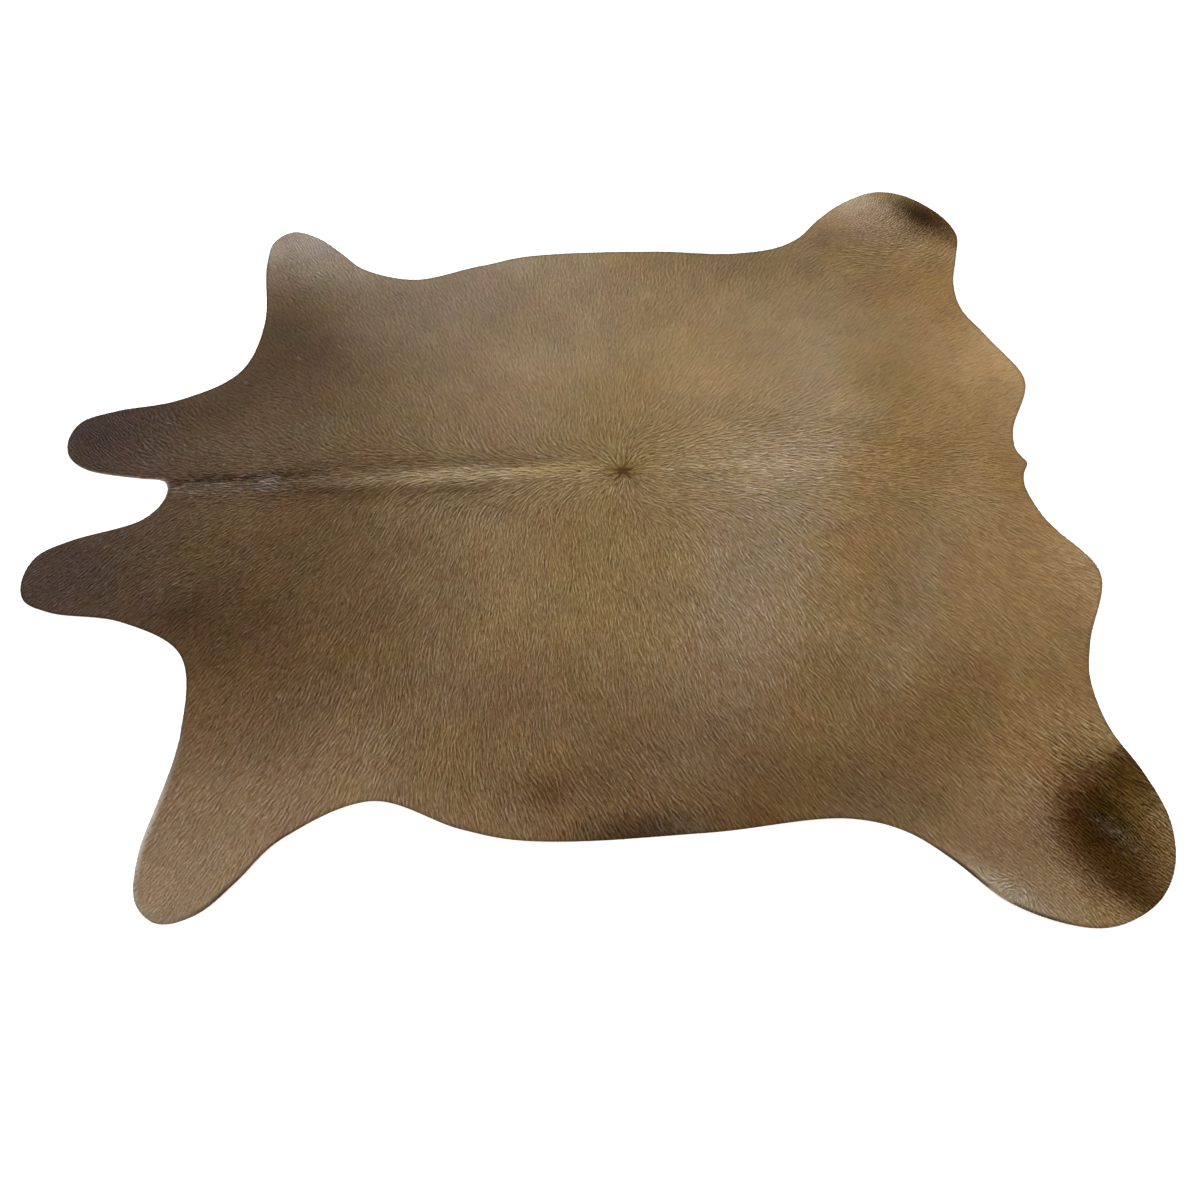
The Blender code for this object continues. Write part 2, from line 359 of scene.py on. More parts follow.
# Ovals, each long along its turn in degrees; an edge of 1 fades softly, 3 sharply
PATCHES = table("name x y long wide colour strength turn edge", [
    ("flap, dark", -105, 20, 13, 9, (63, 52, 44), 0.8, 10),
    ("neck, pale", -67.2, 8.7, 7.5, 3.4, (105, 88, 67), 0.58),
    ("flap, far edge", -93, 27.2, 8.5, 3.4, (67, 51, 40)),
    ("neck, rose", -77, 14, 12, 7, (98, 80, 64), 0.55),
    ("throat, dark", -69, 47, 15, 12, (77, 61, 46), 0.85, 80),
    ("shoulder, grey", -60, 28, 16, 10, (93, 76, 62), 0.55),
    ("withers", -60, 17, 12, 6, (102, 85, 67), 0.6),
    ("shoulder, olive", -44, 20, 10, 14, (104, 87, 62), 0.5, 80),
    ("foreleg", -62, 84, 19, 14, (153, 142, 129), 0.97, -40),
    ("foreleg, root", -52, 73, 12, 7, (132, 116, 101), 0.75, -30),
    ("ribs, ash", -26, 66, 25, 16, (122, 107, 91), 0.85),
    ("ribs, rose", -25, 33, 14, 14, (128, 108, 84), 0.6),
    ("loin, pale", 18, 42, 10, 12, (144, 121, 90), 0.6),
    ("ribs, pale", -5, 39, 12, 9, (143, 123, 97), 0.65),
    ("ribs, greige", -4, 22, 12, 8, (136, 118, 90)),
    ("flank, rose", 6, 62, 27, 19, (134, 114, 89), 0.85),
    ("hip, gold", 36, 34, 13, 14, (150, 125, 89), 0.8),
    ("flank, brown", 50, 74, 28, 14, (116, 96, 69), 0.9),
    ("flank, pale", 64, 32, 25, 8.5, (146, 126, 98), 0.85, 82),
    ("thigh, mauve", 70, 57, 10, 5, (137, 117, 90), 0.6, 60),
    ("rump, gold", 83, 15, 8, 11, (137, 110, 70), 0.6),
    ("thigh, brown", 86, 62, 10, 8, (129, 103, 70), 0.6),
    ("seat, peach", 105, 36, 14, 13, (168, 139, 99), 0.8),
    ("ham, orange", 100, 60, 7, 15, (132, 104, 66), 0.75),
    ("hind leg", 85, 83, 14, 9, (137, 112, 83), 0.8),
    ("hind leg, pale", 83, 94, 10, 6, (174, 154, 127), 0.88, 15),
    ("hind leg, root", 70, 79, 6, 5, (120, 99, 71), 0.55),
    ("hind leg, tip", 90, 90, 5.5, 4.5, (160, 138, 110), 0.7),
    ("croup, pale", 70, 19, 7, 6, (153, 131, 99), 0.65),
    ("croup, pale", 60, -11, 6, 5, (144, 122, 89), 0.55),
    ("hind leg, dark", 103, 87, 11.6, 6.2, (71, 49, 24), 0.92, -48, 1.3),
    ("hind leg, corner", 108, 80, 4, 5, (88, 64, 36), 0.62),
    ("hind leg, below", 97.5, 80.5, 5.5, 3.2, (106, 82, 53), 0.48),
    ("hind leg, core", 100.5, 88, 5.5, 3.2, (40, 28, 14), 0.7, -48),
    ("neck, olive", -73, -7, 12, 9, (103, 83, 56), 0.7),
    ("neck, dark", -68, -33, 17, 13, (81, 60, 36), 0.8, -30),
    ("throat, dark", -79, -31, 7, 5, (69, 50, 36), 0.6, -20),
    ("foreleg, rose", -56, -82, 33, 25, (136, 112, 86), 0.97),
    ("foreleg, tip", -69, -84, 12, 14, (147, 125, 101), 0.85),
    ("ribs, rust", -42, -38, 14, 19, (98, 74, 46), 0.65),
    ("ribs, brown", -12, -52, 28, 17, (114, 90, 62), 0.85),
    ("loin, gold", 9, -21, 20, 19, (124, 100, 64), 0.76),
    ("belly, brown", 30, -71, 48, 20, (100, 76, 49), 0.92),
    ("belly, deep", 1, -70, 8, 5, (98, 72, 45), 0.55),
    ("hip, lilac", 38, -25, 28, 10, (131, 112, 88), 0.82, 70),
    ("rump, gold", 63, -22, 28, 9, (130, 103, 66), 0.8, 68),
    ("flank, rust", 50, -54, 13, 8, (112, 87, 54), 0.72, 68),
    ("rump, lilac", 76, -30, 21, 4.5, (138, 115, 88), 0.7, 62),
    ("thigh, brown", 69, -66, 12, 13, (104, 79, 48), 0.75),
    ("thigh, dark", 81, -50, 9, 7, (117, 89, 56), 0.65),
    ("ham, gold", 96, -52, 10, 12, (129, 101, 64), 0.8),
    ("ham, warm", 85, -67, 16, 8, (134, 101, 61)),
    ("hind leg", 80, -80, 16, 14, (139, 112, 80), 0.85),
    ("hind leg, pale", 79, -94, 10, 5, (142, 122, 94), 0.8, -25),
    ("hind leg, root", 67.5, -82.5, 5.5, 4.5, (118, 95, 66), 0.55),
    ("hind leg, shin", 88, -89.3, 8, 4, (152, 123, 91), 0.62),
    ("hind leg, sheen", 75.5, -91.5, 8.5, 2, (158, 146, 126), 0.7, -40),
    ("hind leg, dark", 98.5, -81.5, 11.4, 13, (69, 44, 16), 0.94, 0, 2),
    ("hind leg, core", 95.5, -79, 5.5, 7, (46, 27, 9), 0.8),
    ("hind leg, upper arm", 104, -70.8, 7, 4.2, (64, 42, 17), 0.9, 30, 2),
    ("hind leg, lower arm", 99, -91.5, 7, 4.2, (66, 43, 16), 0.84, -35, 2),
    ("hind leg, hollow", 105.5, -82, 7, 4.5, (108, 80, 41), 0.8, 95),
    ("hind leg, outer", 108.8, -82.8, 7.5, 3.4, (128, 100, 64), 0.85, 100),
    ("hind leg, sole", 104.5, -91.2, 4.5, 4, (106, 81, 52), 0.55),
    ("hind leg, top", 106.5, -74.2, 4.5, 3.5, (78, 53, 25), 0.55, 30),
    ("hind leg, strands", 98.5, -82.5, 6.5, 1.5, (96, 80, 60), 0.42, -45),
    ("foreleg, upper", -65, -61, 8, 5, (122, 98, 72)),
    ("flank, deep", 50, -72, 14, 7, (97, 72, 42), 0.6),
    ("flank, mid", 27, -50, 10, 8, (114, 91, 68)),
    ("seat, gold", 90, -31, 8, 8, (147, 119, 80)),
    ("loin, gold", 20, 29, 6, 6, (131, 107, 72), 0.55),
    ("by the ridge", -16, 12, 10, 6, (116, 98, 73), 0.45),
    ("shoulder, dark", -58, 40, 9, 8, (81, 65, 49)),
    ("throat, upper", -80, 28, 7, 6, (75, 59, 46)),
    ("seat, peach", 91, -7, 7, 9, (151, 124, 87), 0.65),
    ("croup, pale", 52, 4, 17, 8.5, (153, 134, 105), 0.85),
    ("loin, warm", 4, 0.8, 11, 3.5, (143, 121, 87), 0.6),
    ("rump, golden", 79, 4, 10, 7, (136, 107, 66), 0.7),
    ("tail root", 103, 0, 5, 6, (133, 104, 64), 0.7),
    # The dark along the belly's near edge: the hair's own brown and painted shade under the lifted rim
    ("belly edge, dark", 14, -79, 13.5, 4, (60, 45, 29), 0.84, 0, 1.5),
    ("belly edge, grey", 24, -77.5, 5, 2, (98, 84, 66), 0.55),
    ("withers, grey spot", -65.2, 4.3, 2.2, 1.4, (124, 110, 104), 0.75),
    ("withers, dark", -57, 6.6, 6.5, 2.2, (72, 57, 38), 0.55),
    # Painted shade below the ridge at the withers
    ("withers, dark below", -46, -0.4, 7, 2, (76, 58, 36), 0.6),
    ("whorl, halo", 14.8, 3.4, 3.6, 3, (110, 86, 48), 0.35),
    ("belly spot", -3, -70.5, 3.6, 2.6, (72, 50, 28), 0.62),
    ("ribs, front edge", -37, -66, 9, 10, (136, 113, 85), 0.6),
    ("ribs, olive", -43, -57, 5, 5, (119, 100, 66)),
    ("shoulder, olive", -31, -8, 12, 9, (117, 98, 65)),
    ("foreleg, warm", -63, -71, 12, 10, (142, 115, 83), 0.55),
    ("loin, warm", -5, -34, 11, 9, (126, 100, 63)),
    ("neck, warm", -56, -16, 22, 8, (97, 75, 47)),
    ("belly, grey", 22, -66, 12, 8, (109, 88, 66)),
    ("foreleg, sole", -69, -86, 6, 7, (154, 130, 101), 0.58),
    ("throat, deep", -74, -41, 5, 5, (75, 55, 33)),
    ("thigh, deep", 75.5, -58.5, 6, 8, (105, 79, 46), 0.45),
    ("flank edge", 34, -77, 9, 4, (84, 60, 35), 0.58),
    ("belly, warm", -18, -65, 18, 8, (119, 91, 59)),
    ("by the ridge, brown", -16, 15.5, 12, 4, (113, 94, 69)),
    ("shoulder, cool", -49, 55, 9, 9, (107, 92, 78), 0.45),
    ("throat, brown", -69, -50, 11, 9, (108, 80, 51), 0.6),
    ("rump, brown", 72, -33, 6, 7, (119, 94, 66)),
    ("ham, edge", 104, -45, 5, 10, (117, 91, 60)),
    ("flank, grey", 59, -75, 9, 7, (99, 80, 61)),
    ("shoulder, brown", -39, 38, 11, 8, (100, 82, 61)),
    ("ribs, grey", -28, 51, 20, 13, (117, 102, 86), 0.55),
    ("shoulder, deep", -64, 45, 12, 6, (75, 60, 47)),
    ("throat, grey", -75, 40, 6, 5, (75, 61, 50)),
    ("flank, grey", -9, 74, 20, 9, (131, 118, 101)),
    ("loin, grey", 7, 42, 14, 11, (129, 112, 86)),
    ("hind leg, shin", 83, 86, 7, 6, (158, 133, 102), 0.55),
    ("seat, brown", 104.5, -14, 5, 5, (138, 106, 68)),
    ("thigh, grey", 72, 46, 15, 6, (134, 116, 91)),
    ("foreleg, front", -75, 82, 4, 6, (160, 149, 135), 0.55),
    ("croup, golden", 69.5, -3, 4.5, 8, (146, 119, 74), 0.55),
    ("foreleg, mid", -63.6, 77.7, 5, 5, (127, 113, 97)),
    # Painted shade on the far side of the ridge
    ("by the ridge, low", -25.7, 7.8, 10, 2.6, (105, 87, 60), 0.34),
    ("croup, grey", 53, -10, 7, 4.5, (148, 130, 102), 0.45),
    ("flap, tip", -107.7, -13, 5, 4, (62, 51, 40), 0.42),
    ("ham, low", 94.1, -69, 4.2, 3.8, (118, 89, 56), 0.38),
    ("foreleg, edge", -73.4, 69.5, 4, 4, (121, 107, 92), 0.45),
    ("hind leg, warm", 92, 86.5, 5, 5, (137, 109, 75), 0.42),
    ("ham, orange", 81, -71, 10, 4.5, (135, 104, 66), 0.42),
    ("whorl, gold", 13, 5.8, 9, 2.6, (141, 117, 69), 0.34),
    ("hip, gold", 31, 8.4, 7, 5, (143, 120, 80), 0.42),
    ("neck, tan", -46.3, -3.3, 8, 4, (101, 78, 47), 0.4),
    ("ribs, green", -25, -28, 9, 7, (111, 93, 61), 0.42),
    ("ribs, tan", -37, -50, 6, 5, (103, 78, 51), 0.42),
], defaults=(0.5, 0, 1))

# Stripes along the back between two places, which fade at both ends; the shadows and the withers' dark line
# below the ridge are painted shade beside the raised ridge
STRIPES = table("name start_x start_y end_x end_y half fade colour strength", [
    # Painted shade on both sides of the ridge
    ("neck, far shadow", -58, 7.7, 2, 7.8, 1.4, 12, (88, 70, 48), 0.34),
    ("neck, near shadow", -62, -0.4, -10, -0.4, 1.3, 12, (80, 62, 42), 0.42),
    ("neck, dark line", -90, 4.7, -54, 5.9, 0.8, 6, (42, 32, 24), 0.78),
    # Painted shade below the ridge at the withers
    ("withers, dark line below", -64, 1.3, -46, 0.6, 0.7, 5, (60, 46, 32), 0.55),
    ("neck, grey hairs", -90, 2.6, -58, 2.6, 1.2, 8, (98, 87, 77), 0.6),
    ("back, pale ridge", -52, 3.6, 14, 3.6, 1.9, 26, (168, 148, 114), 0.84),
    ("withers, pale ridge", -64, 3.6, -34, 3.4, 1.3, 10, (136, 121, 99), 0.35),
    ("loin, pale ridge", -10, 4.4, 13.5, 4.8, 1.6, 6, (160, 136, 94), 0.62),
    ("loin, pale line", 17, 3.8, 68, 4.1, 0.55, 8, (172, 150, 114), 0.66),
    ("loin, dark line below", 18, 2.4, 42, 2.6, 0.55, 8, (106, 86, 56), 0.4),
])

# Stretches of the hide's edge: dark lines of painted shade under the lifted rim, a painted sheen on the hind
# leg's rolled edge, and pale lines
EDGES = table("name x y reach width colour strength", [
    # A painted sheen where the edge rolls over
    ("hind leg, roll", 74.5, -91, 8.5, 2.6, (160, 143, 118), 0.58),
    # Dark lines of painted shade under the lifted rim
    ("hind leg, line", 70, -87, 7.5, 0.8, (26, 21, 18), 1),
    ("hind leg, line end", 81, -94.8, 6.5, 0.8, (26, 21, 18), 1),
    ("foreleg, back", -60.5, -85.6, 7, 1, (28, 18, 10), 1),
    ("foreleg, back, upper", -51, -76.4, 7, 0.6, (44, 32, 21), 0.8),
    ("neck, notch", -87.2, 5.5, 3.5, 0.45, (172, 162, 150), 0.65),
    ("flap, near side", -98.5, 8.5, 11, 0.4, (150, 143, 136), 0.55),
    ("foreleg, front", -76.2, -74, 12, 1.2, (205, 195, 188), 0.75),
])

# Blotches, with their size in metres, in how light the coat is, in its colour and, in degrees, in
# the hair's direction
BLOTCHES = table("kind size amount seed", [
    ("light", 0.075, 0.032, 1),
    ("light", 0.030, 0.024, 2),
    ("hue", 0.085, 0.5, 3),
    ("hue", 0.034, 0.7, 4),
    ("warmth", 0.045, 0.006, 5),
    ("stray", 0.16, 7.0, 11),
    ("stray", 0.055, 7.0, 12),
    ("stray", 0.022, 10.0, 13),
    ("fine stray", 0.012, 9.0, 14),
])
HUE_SHIFT = np.array([0.0065, -0.0060, 0.0050])
WARM_SHIFT = np.array([1.0, 0.0, -1.0])


def blotches(kind, x, y):
    """All blotches of one kind together."""
    return sum(row.amount * cloud(x, y, row.size, row.seed) for row in BLOTCHES if row.kind == kind)


def shown(colour):
    """A colour of 0 to 255 as shares of 1."""
    return np.array(colour) / 255.0


def painted(x, y):
    """The coat's colour as it shows, red, green and blue between 0 and 1."""
    places = [CM * row.x for row in GROUND]
    tones = shown([row.colour for row in GROUND])
    colour = np.stack([np.interp(x, places, tones[:, band]) for band in range(3)], axis=-1)
    for patch in PATCHES:
        share = patch.strength * np.exp(-(oval(x, y, patch) ** patch.edge))
        colour = blend(colour, shown(patch.colour), share[..., None])
    for stripe in STRIPES:
        length = stripe.end_x - stripe.start_x
        along = (x / CM - stripe.start_x) / length
        middle = stripe.start_y + (stripe.end_y - stripe.start_y) * along
        ends = rising(along, 0.0, stripe.fade / length) * rising(along, 1.0, -stripe.fade / length)
        share = stripe.strength * ends * bell(y / CM, middle, stripe.half)
        colour = blend(colour, shown(stripe.colour), share[..., None])
    return mottled(colour, x, y)


def mottled(colour, x, y):
    """The colour with its blotches: lighter and darker, rose and olive, warmer and cooler."""
    hue, warmth = blotches("hue", x, y), blotches("warmth", x, y)
    shift = hue[..., None] * HUE_SHIFT + warmth[..., None] * WARM_SHIFT
    return colour * (1.0 + blotches("light", x, y))[..., None] + shift


# The hair's direction

def legs(x, y):
    """1 on the legs and the neck flaps, where the hair is short and fine, and 0 on the body."""
    leg = rising(np.abs(y), *LEG_SIDE_STEP) * rising(np.abs(x - LEG_MIDDLE_X), *LEG_END_STEP)
    return np.maximum(leg, rising(x, *FLAP_STEP))


def parting(x):
    """Where the line lies along the back that the hair of both sides turns away from."""
    return WHORL_Y + PART_SWAY * bell(x, PART_SWAY_X, PART_SWAY_REACH)


def flow(x, y):
    """The unit direction of the hair: out from the whorl along the back, then down either side."""
    across = y - parting(x)
    side = np.where(across < 0.0, -1.0, 1.0)
    away = np.abs(across)
    rear = rising(x, *REAR_STEP)

    rear_lean = REAR_LEAN * (1.0 + BACK_LEAN * fading(away, *BACK_STEP))
    lean = blend(FRONT_LEAN, rear_lean, rear) * (x - UPRIGHT_X)
    lean = lean - NECK_LEAN * bell(x, *NECK_BELL) * fading(away, *NECK_BACK_STEP)

    start, reach = (
        blend(np.where(side > 0.0, right, left), behind, rear)
        for right, left, behind in zip(RIGHT_TURN, LEFT_TURN, REAR_TURN)
    )
    down = rising(away, start, reach)
    along = np.tanh((x - WHORL_X) / WHORL_TURN)
    step_x, step_y, _ = unit(blend(along, lean, down), blend(1.0 - np.abs(along), 1.0, down) * side)

    out_x, out_y, radius = unit(x - WHORL_X, y - WHORL_Y)
    near_whorl = fading(radius, *WHORL_STEP)
    return unit(blend(step_x, out_x, near_whorl), blend(step_y, out_y, near_whorl))[:2]


# Where the hair turns further than the plain course above, in degrees, anticlockwise from above
TURNS = spots([
    ("belly", 6, -72, 40, 17, 34),
    ("belly, front", -35, -62, 10, 8, -14),
    ("ribs, front", -36, -48, 20, 10, 15),
    ("loin", 8, -36, 22, 13, 13),
    ("flank", 55, -58, 10, 12, -13),
    ("rump, by the back", 82, -16, 26, 10, -25),
    ("rump", 70, -30, 7, 7, -14),
    ("by the ridge", -15, -0.2, 25, 3, 18),
    ("by the withers", -65, 0, 16, 3, -18),
    ("by the croup", 30, 0, 13, 3, -17),
    ("by the ridge", -22, 10, 13, 3, -13),
    ("ribs, by the back", -12, 25, 20, 10, 19),
    ("shoulder", -36, 37, 12, 10, 9),
    ("hip", 58, 40, 42, 22, -19),
    ("thigh", 92, 62, 18, 10, -18),
    ("hind leg", 84, 76, 16, 9, -62),
])


def swirl(x, y):
    """How far, in radians, the hair strays from its direction, in soft patches."""
    hind_leg = legs(x, y) * rising(x, *HIND_STRAY_STEP)
    stray = blotches("stray", x, y) + (1.0 + hind_leg) * blotches("fine stray", x, y)
    return np.radians(stray + amount(x, y, TURNS))


def hair_direction(x, y):
    """The unit direction of the hair as it lies, with its strays."""
    step_x, step_y = flow(x, y)
    out_x, out_y, radius = unit(x - ARCH_X, y - ARCH_Y)
    arched = fading(radius, 0.5 * ARCH_REACH, 0.5 * ARCH_REACH)
    step_x, step_y, _ = unit(blend(step_x, out_y, arched), blend(step_y, -out_x, arched))
    return turned(step_x, step_y, swirl(x, y))


# The strands

def strand_length(x, y):
    """How long the strands are: shorter at the neck than on the body, and shortest on the hind legs."""
    leg = legs(x, y)
    neck = rising(x, *NECK_STRAND_STEP) * (1.0 - leg)
    return STRAND - NECK_STRAND * neck - HIND_STRAND * leg * rising(x, *HIND_STEP)


def filtered(grid, strength):
    """A grid TUFT_GRID apart, with each wave in it as strong as told for its waves a metre."""
    waves_y = np.fft.fftfreq(grid.shape[0], TUFT_GRID)[:, None]
    waves_x = np.fft.rfftfreq(grid.shape[1], TUFT_GRID)[None]
    return np.fft.irfft2(np.fft.rfft2(grid) * strength(np.hypot(waves_x, waves_y)), s=grid.shape)


def band_noise(shape, spacing, random):
    """Noise whose waves are all about spacing long, with a spread of 1."""
    def strength(waves):
        return bell(np.log(np.maximum(waves * spacing, TINY)), 0.0, SPACING_SPREAD)

    noise = filtered(random.normal(size=shape), strength)
    return noise / noise.std()


def blurred(grid, reach):
    """The grid, blurred by reach."""
    return filtered(grid, lambda waves: np.exp(-2.0 * (math.pi * reach * waves) ** 2))


class Tufts:
    """Crests and grooves of the coat, as a height with a spread of 1: noise drawn out along the hair."""

    def __init__(self, seed):
        x, y = lattice(TUFT_GRID, TUFT_GRID)
        random = np.random.default_rng(seed)
        near = band_noise(x.shape, NEAR_SPACING, random)
        far = band_noise(x.shape, FAR_SPACING, random)
        noise = blend(near, far, rising(y, *TUFT_FAR_STEP))
        noise = blend(noise, band_noise(x.shape, LEG_SPACING, random), legs(x, y))
        height = self.drawn_out(noise, x, y)
        height = height / np.sqrt(blurred(height ** 2, TUFT_EVEN))
        self.height = TUFT_MOST * np.tanh(height / TUFT_MOST)

    def drawn_out(self, noise, x, y):
        """Each cell's sum of the noise along the hair's path through it, both ways."""
        step_x, step_y = hair_direction(x, y)
        length = strand_length(x, y)
        total = noise.copy()
        power = np.ones(x.shape)
        for way in (TUFT_WALK / TUFT_GRID, -TUFT_WALK / TUFT_GRID):
            row, column = np.indices(x.shape).astype(float)
            for step in range(1, TUFT_STEPS + 1):
                cell = self.cell(row, column, x.shape)
                row += way * step_y[cell]
                column += way * step_x[cell]
                weight = bell(step * TUFT_WALK, 0.0, length)
                total += weight * noise[self.cell(row, column, x.shape)]
                power += weight ** 2
        return total / np.sqrt(power)

    def cell(self, row, column, shape):
        return (
            np.clip(np.rint(row).astype(int), 0, shape[0] - 1),
            np.clip(np.rint(column).astype(int), 0, shape[1] - 1),
        )

    def read(self, x, y):
        low, _ = cad_box
        row, column = (y - low[1]) / TUFT_GRID, (x - low[0]) / TUFT_GRID
        return self.height[self.cell(row, column, self.height.shape)]


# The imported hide, read as a rim and as heights over a grid

def open_edges(faces):
    """The edges that only one of the faces has, in the order that it goes round them."""
    edges = {}
    for face in faces:
        for start, end in zip(face, face[1:] + face[:1]):
            if (end, start) in edges:
                del edges[(end, start)]
            else:
                edges[(start, end)] = True
    return list(edges)


def rim_loop(node):
    """The rim of the underside, in order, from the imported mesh."""
    mesh = node.data
    mesh.calc_loop_triangles()
    numbers = {}
    faces = []
    for triangle in mesh.loop_triangles:
        if triangle.normal.z < -0.5:
            corners = [mesh.vertices[index].co for index in triangle.vertices]
            places = [tuple(round(value, 6) for value in corner) for corner in corners]
            faces.append([numbers.setdefault(place, len(numbers)) for place in places])
    following = dict(open_edges(faces))
    places = list(numbers)
    current = next(iter(following))
    loop = []
    while current in following:
        loop.append(places[current])
        current = following.pop(current)
    return np.array(loop)


def smooth_rim(loop):
    """Points RIM_STEP apart on a smooth closed curve through the rim's own points."""
    points = []
    for index, start in enumerate(loop):
        before, end, after = loop[index - 1], loop[(index + 1) % len(loop)], loop[(index + 2) % len(loop)]
        pieces = max(1, round(math.dist(start, end) / RIM_STEP))
        tangent_start = 0.5 * (end - before)
        tangent_end = 0.5 * (after - start)
        for piece in range(pieces):
            t = piece / pieces
            cubic = (2 * t**3 - 3 * t**2 + 1) * start + (t**3 - 2 * t**2 + t) * tangent_start
            cubic = cubic + (3 * t**2 - 2 * t**3) * end + (t**3 - t**2) * tangent_end
            points.append(cubic)
    return np.array(points)


def inside(rim, xs, ys):
    """Whether each point of a grid lies inside the rim, row by row."""
    start, end = rim, np.roll(rim, -1, axis=0)
    answer = np.zeros((len(ys), len(xs)), bool)
    for row, y in enumerate(ys):
        spans = (start[:, 1] > y) != (end[:, 1] > y)
        low, high = start[spans], end[spans]
        crossing = low[:, 0] + (y - low[:, 1]) / (high[:, 1] - low[:, 1]) * (high[:, 0] - low[:, 0])
        answer[row] = np.searchsorted(np.sort(crossing), xs) % 2 == 1
    return answer


class Relief:
    """The hide on a grid: its underside, its top, and how far inside the rim a place is."""

    def __init__(self, node, rim):
        low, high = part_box("hide")
        self.low = (low.x - GRID_MARGIN, low.y - GRID_MARGIN)
        xs = np.arange(self.low[0], high.x + GRID_MARGIN, GRID_STEP)
        ys = np.arange(self.low[1], high.y + GRID_MARGIN, GRID_STEP)
        within = inside(rim, xs, ys)
        after = np.roll(rim, -1, axis=0)
        marks = np.concatenate([rim + share * (after - rim) for share in (0, 0.25, 0.5, 0.75)])
        nearest = KDTree(len(marks))
        for index, mark in enumerate(marks):
            nearest.insert((mark[0], mark[1], 0.0), index)
        nearest.balance()
        solid = BVHTree.FromObject(node, bpy.context.evaluated_depsgraph_get())
        self.layers = {layer: np.zeros(within.shape) for layer in ("depth", "under", "over")}
        for cell, is_inside in np.ndenumerate(within):
            x, y = xs[cell[1]], ys[cell[0]]
            _, index, gap = nearest.find((x, y, 0.0))
            self.layers["depth"][cell] = gap if is_inside else -gap
            if gap < GRID_MARGIN or is_inside:
                self.layers["under"][cell], self.layers["over"][cell] = heights(solid, x, y, marks[index][2])

    def read(self, layer, x, y):
        grid = self.layers[layer]
        u = (x - self.low[0]) / GRID_STEP
        v = (y - self.low[1]) / GRID_STEP
        column = np.clip(np.floor(u).astype(int), 0, grid.shape[1] - 2)
        row = np.clip(np.floor(v).astype(int), 0, grid.shape[0] - 2)
        return between(grid, column, row, np.clip(u - column, 0.0, 1.0), np.clip(v - row, 0.0, 1.0))

    def leather(self, x, y):
        """Height of the leather's hair side."""
        return self.read("under", x, y) + LEATHER

    def coat(self, x, y):
        """Room for the hair, from the leather to the top of the solid."""
        return np.maximum(self.read("over", x, y) - self.leather(x, y), LEAST_COAT)


def heights(solid, x, y, rim_height):
    """The bottom and the top of the solid at a place, or outside it those of the rim close by."""
    bottom = solid.ray_cast(Vector((x, y, -1.0)), Vector((0.0, 0.0, 1.0)))[0]
    if bottom is None:
        return rim_height, rim_height + RIM_THICKNESS
    top = solid.ray_cast(Vector((x, y, 1.0)), Vector((0.0, 0.0, -1.0)))[0]
    return bottom.z, top.z


# Materials

def display_to_linear(colour):
    colour = np.clip(colour, 0.0, 1.0)
    return np.where(colour <= 0.04045, colour / 12.92, ((colour + 0.055) / 1.055) ** 2.4)


def set_inputs(node, values):
    """Sets inputs of a node; an underscore stands for a space in their names."""
    for name, value in values.items():
        node.inputs[name.replace("_", " ")].default_value = value


class Look:
    """A material in the making, with short ways to add and join its nodes."""

    def __init__(self, name, **values):
        self.material = bpy.data.materials.new(name)
        self.material.use_nodes = True
        self.shader = self.material.node_tree.nodes["Principled BSDF"]
        set_inputs(self.shader, values)

    def add(self, kind, **values):
        node = self.material.node_tree.nodes.new("ShaderNode" + kind)
        set_inputs(node, values)
        return node

    def join(self, start, output, end, entry):
        self.material.node_tree.links.new(start.outputs[output], end.inputs[entry])

    def noise(self, place, output, size, detail):
        """Noise over a place's coordinates."""
        noise = self.add("TexNoise", Scale=size, Detail=detail)
        self.join(place, output, noise, "Vector")
        return noise

    def toned(self, noise, **shades):
        """Each corner's own tone as the colour, made darker and lighter by a noise."""
        tone = self.add("Attribute")
        tone.attribute_name = "tone"
        shade = self.add("MapRange", **shades)
        self.join(noise, "Fac", shade, "Value")
        mix = self.add("VectorMath")
        mix.operation = "SCALE"
        self.join(tone, "Color", mix, 0)
        self.join(shade, "Result", mix, "Scale")
        self.join(mix, "Vector", self.shader, "Base Color")

    def raised(self, noise, strength, height):
        """Bump by a noise."""
        relief = self.add("Bump", Strength=strength, Distance=height)
        self.join(noise, "Fac", relief, "Height")
        self.join(relief, "Normal", self.shader, "Normal")


def hair_material():
    """Hair: each lock's own tone, with fine strands along it in colour and bump."""
    look = Look("hair", Roughness=0.62, Specular_IOR_Level=0.035)
    place = look.add("UVMap")
    place.uv_map = "strands"
    stretch = look.add("Mapping", Scale=(STRAND_CELLS * 5.0, STRAND_CELLS * 0.7, 1.0))
    look.join(place, "UV", stretch, "Vector")
    strands = look.noise(stretch, "Vector", size=1.0, detail=1.0)
    look.toned(strands, From_Min=0.3, From_Max=0.7, To_Min=0.80, To_Max=1.16)
    look.raised(strands, strength=0.5, height=0.0003)
    return look.material


def root_material():
    """The hair side of the leather between the locks, darker with underfur and with painted shade in the
    gaps.
    """
    look = Look("underfur", Roughness=0.85, Specular_IOR_Level=0.03)
    fuzz = look.noise(look.add("TexCoord"), "Object", size=420.0, detail=3.0)
    look.toned(fuzz, To_Min=0.60, To_Max=1.00)
    look.raised(fuzz, strength=1.0, height=0.0006)
    return look.material


